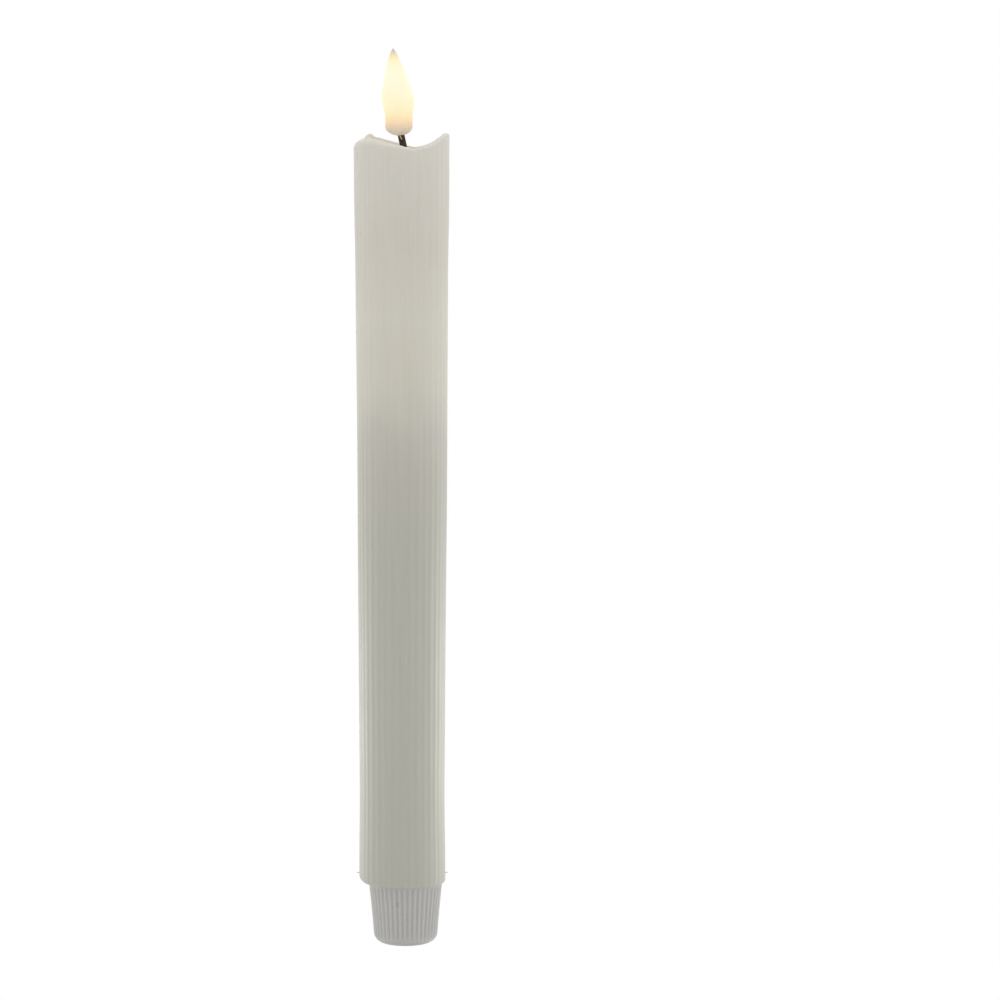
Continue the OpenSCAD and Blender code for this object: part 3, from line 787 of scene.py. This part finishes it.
for v in bm.verts:
    index = v[order] - 1
    angle = math.atan2(v.co.y, v.co.x)
    r = math.hypot(v.co.x, v.co.y)
    left = (1 - math.cos(angle)) / 2
    if index < foot_start:
        continue
    rib = math.cos(angle * ribs) + 0.5 * noise.noise(Vector((angle * 9, v.co.z * 14, 1.0)))
    wobble = 0.10 * MM * noise.noise(Vector((math.cos(angle), math.sin(angle), v.co.z * 22)))
    crest_r = (10.8 + 0.5 * math.cos(angle)) * MM
    crest_z = rim_height(angle)
    shoulder_z = crest_z - (0.7 + 1.6 * left ** 3) * MM
    shift = wax_middle(v.co.z)
    if index < wall_start:
        corner = (0.4 + 1.5 * left) * MM
        swing = math.pi / 2 * (1 - (index - foot_start) / foot_steps)
        r = wax_radius(wall_low) - corner * (1 - math.cos(swing)) + wobble
        r += 0.5 * rib_depth * rib * math.cos(swing)
        v.co.z = wax_foot_z - wax_skirt + corner * (1 - math.sin(swing))
    elif index < shoulder_start:
        z = v.co.z
        r = wax_radius(z) + wobble + 0.5 * rib_depth * rib
        for pit_angle, pit_z, pit_r, pit_depth in pits:
            away = math.hypot((angle - math.radians(pit_angle)) * r, z - pit_z * MM)
            r -= pit_depth * MM * math.exp(-(away / (pit_r * MM)) ** 2)
        v.co.z = z + smooth(196 * MM, wax_wall_top, z) * (shoulder_z - wax_wall_top - 0.4 * MM)
    elif index < bowl_start:
        swing = math.pi / 2 * (index - shoulder_start) / (shoulder_steps - 1)
        outer = wax_radius(shoulder_z) + wobble + 0.5 * rib_depth * rib * math.cos(swing)
        r = crest_r + (outer - crest_r) * math.cos(swing)
        v.co.z = shoulder_z + (crest_z - shoulder_z) * math.sin(swing)
    elif index < pool_start:
        swing = math.pi / 2 * (index - bowl_start + 1) / bowl_steps
        r = pool_r + (crest_r - pool_r) * math.cos(swing)
        v.co.z = pool_floor_z + (crest_z - pool_floor_z) * (1 - math.sin(swing)) ** 1.3
        shift += 0.75 * MM * math.sin(swing)
    else:
        shift = 0.4 * MM
    v.co.x = shift + r * math.cos(angle)
    v.co.y = r * math.sin(angle)
bmesh.ops.holes_fill(bm, edges=[e for e in bm.edges if e.is_boundary])

flake_z = 18.7 * MM
flake_length = 1.5 * MM
flake_root_r = 0.55 * MM
flake_tip_r = 0.10 * MM
flake_flatness = 0.42
for side in (-1, 1):
    flake = bmesh.new()
    bmesh.ops.create_cone(flake, cap_ends=True, segments=10, radius1=flake_root_r,
                          radius2=flake_tip_r, depth=flake_length)
    bmesh.ops.bevel(flake, geom=flake.edges[:], offset=0.04 * MM, segments=1, profile=0.5,
                    affect="EDGES", material=-1)
    bmesh.ops.rotate(flake, verts=flake.verts, matrix=Matrix.Rotation(side * math.pi / 2, 3, "Y"))
    bmesh.ops.scale(flake, vec=(1, 1, flake_flatness), verts=flake.verts)
    flake_x = wax_middle(flake_z) + side * (wax_radius(flake_z) + 0.05 * MM)
    joined(bm, flake, (flake_x, 0, flake_z))

# Paraffin with stearic hardener is ivory and faintly see-through: light sinks in and spreads.
# Its colour is painted paler and warmer at the hollow top and greyer low down, where the cells
# stand behind it: painted light and shade for the light coming through the wax.
wax, tree, bsdf = new_material("ivory_paraffin", IOR=1.44, Subsurface_Weight=0.35,
                               Subsurface_Scale=0.002, Subsurface_Radius=(1.0, 0.85, 0.6))
coords = add_node(tree, "ShaderNodeTexCoord")
# Drawing the wax down the mould leaves streaks about 1 mm wide and many times as long
streaked = add_node(tree, "ShaderNodeMapping", {"Vector": coords.outputs["Object"],
                                                "Scale": (1, 1, 0.04)})
streaks = add_node(tree, "ShaderNodeTexNoise", {"Vector": streaked.outputs[0], "Scale": 700.0,
                                                "Detail": 3.0})
clouds = add_node(tree, "ShaderNodeTexNoise", {"Vector": coords.outputs["Object"], "Scale": 90.0,
                                               "Detail": 2.0})
drift = add_node(tree, "ShaderNodeMapRange", {"Value": clouds.outputs["Fac"],
                                              "To Min": -4 * MM, "To Max": 4 * MM})
place = add_node(tree, "ShaderNodeSeparateXYZ", {0: coords.outputs["Object"]})
level = add_node(tree, "ShaderNodeMath", {0: place.outputs["Z"], 1: drift.outputs[0]},
                 operation="ADD")
height = add_node(tree, "ShaderNodeMapRange", {"Value": level.outputs[0],
                                               "From Min": wax_foot_z, "From Max": wax_high.z})
# Painted light and shade: paler and warmer at the hollow top, greyer low down over the cells
painted_light_colour = add_node(tree, "ShaderNodeValToRGB", {0: height.outputs[0]})
ramp = painted_light_colour.color_ramp
wax_painted_light_shades = ((0.0, "#D2D2C6"), (0.16, "#D5D5C8"), (0.45, "#D8D7CB"), (0.545, "#DDDBCF"),
              (0.60, "#E3E1D5"), (0.66, "#F2EFE1"), (0.76, "#FAF5E7"), (0.86, "#F7F1E4"),
              (0.94, "#FCF6EA"), (1.0, "#FCF7EC"))
ramp.elements[0].color = hex_colour(wax_painted_light_shades[0][1])
ramp.elements[1].color = hex_colour(wax_painted_light_shades[-1][1])
for share, code in wax_painted_light_shades[1:-1]:
    ramp.elements.new(share).color = hex_colour(code)
streak_tone = add_node(tree, "ShaderNodeMapRange", {"Value": streaks.outputs["Fac"],
                                                    "To Min": 0.95, "To Max": 1.05})
tinted = add_node(tree, "ShaderNodeVectorMath", {0: painted_light_colour.outputs[0],
                                                 "Scale": streak_tone.outputs[0]},
                  operation="SCALE")
tree.links.new(tinted.outputs[0], bsdf.inputs["Base Color"])
grain = add_node(tree, "ShaderNodeTexNoise", {"Vector": coords.outputs["Object"], "Scale": 2500.0,
                                              "Detail": 4.0})
sheen = add_node(tree, "ShaderNodeMapRange", {"Value": clouds.outputs["Fac"],
                                              "To Min": 0.40, "To Max": 0.55})
tree.links.new(sheen.outputs[0], bsdf.inputs["Roughness"])
bump = add_node(tree, "ShaderNodeBump", {"Height": grain.outputs["Fac"], "Strength": 0.3,
                                         "Distance": 0.02 * MM})
tree.links.new(bump.outputs[0], bsdf.inputs["Normal"])
casting = finished("wax_casting", bm, "candle", wax, sharp=60)
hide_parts("wax_sleeve")


# ---- Flame ----
# A translucent shell moulded in milky polypropylene, round-footed and pinched to a leaning tip.
# The LED's light through the shell is painted on as emission: it glows in its middle, its foot stays
# grey and its tip stays brown.
flame_low, flame_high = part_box("flame_shell")
flame_foot_z = flame_low.z
flame_height = flame_high.z - flame_foot_z
flame_x = -1.2 * MM
flame_r = 4.3 * MM
flame_foot_r = 3.6 * MM
flame_foot_curve = 2.4 * MM
flame_widest = 9.8 * MM
flame_lean = 1.6 * MM
flame_levels = 44
flame_sides = 64


def flame_radius(h):
    """Radius at a height over the foot: a round foot, a straight neck, a swell and a taper."""
    if h > flame_widest:
        share = (h - flame_widest) / (flame_height - flame_widest)
        return flame_r * max(0.0, 1 - share ** 1.25) ** 0.8
    foot = flame_foot_r * math.sqrt(1 - (1 - min(h / flame_foot_curve, 1)) ** 2)
    return foot + (flame_r - flame_foot_r) * smooth(4.4 * MM, flame_widest, h)


bm = bmesh.new()
levels = [(1 - math.cos(math.pi * i / flame_levels)) / 2 * flame_height
          for i in range(flame_levels + 1)]
outline = [(flame_radius(h), flame_foot_z + h) for h in levels]
outline[0] = (0, flame_foot_z)
outline[-1] = (0, flame_foot_z + flame_height)
turn(bm, chain(bm, outline), flame_sides)
for v in bm.verts:
    h = v.co.z - flame_foot_z
    v.co.x += flame_x - flame_lean * smooth(4 * MM, flame_height + 4 * MM, h)
milky, tree, bsdf, coords = grained("milky_polypropylene", "#EEDFC6", "#F6E9D2", 5 * MM, 0.6 * MM,
                                    0.03 * MM, Roughness=0.5, IOR=1.49, Emission_Strength=1.0)
place = add_node(tree, "ShaderNodeSeparateXYZ", {0: coords.outputs["Object"]})
height = add_node(tree, "ShaderNodeMapRange", {"Value": place.outputs["Z"],
                                               "From Min": flame_foot_z,
                                               "From Max": flame_foot_z + flame_height})
# Painted glow: emission colour by height, for the LED's light through the shell
glow = add_node(tree, "ShaderNodeValToRGB", {0: height.outputs[0]})
ramp = glow.color_ramp
glow_shades = ((0.0, "#404852"), (0.03, "#424C59"), (0.073, "#67625B"), (0.118, "#946F49"),
               (0.165, "#AB8959"), (0.232, "#B1A36D"), (0.325, "#B5B187"), (0.42, "#B3B490"),
               (0.51, "#B3B498"), (0.70, "#B5B79F"), (0.81, "#B4B392"), (0.86, "#B3AB7C"),
               (0.90, "#AA9857"), (0.925, "#9B8647"), (0.95, "#796345"), (0.975, "#40312A"),
               (1.0, "#392C24"))
ramp.elements[0].color = hex_colour(glow_shades[0][1])
ramp.elements[1].color = hex_colour(glow_shades[-1][1])
for share, code in glow_shades[1:-1]:
    ramp.elements.new(share).color = hex_colour(code)
tree.links.new(glow.outputs[0], bsdf.inputs["Emission Color"])
flame = finished("flame", bm, "candle", milky)
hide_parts("flame_shell")
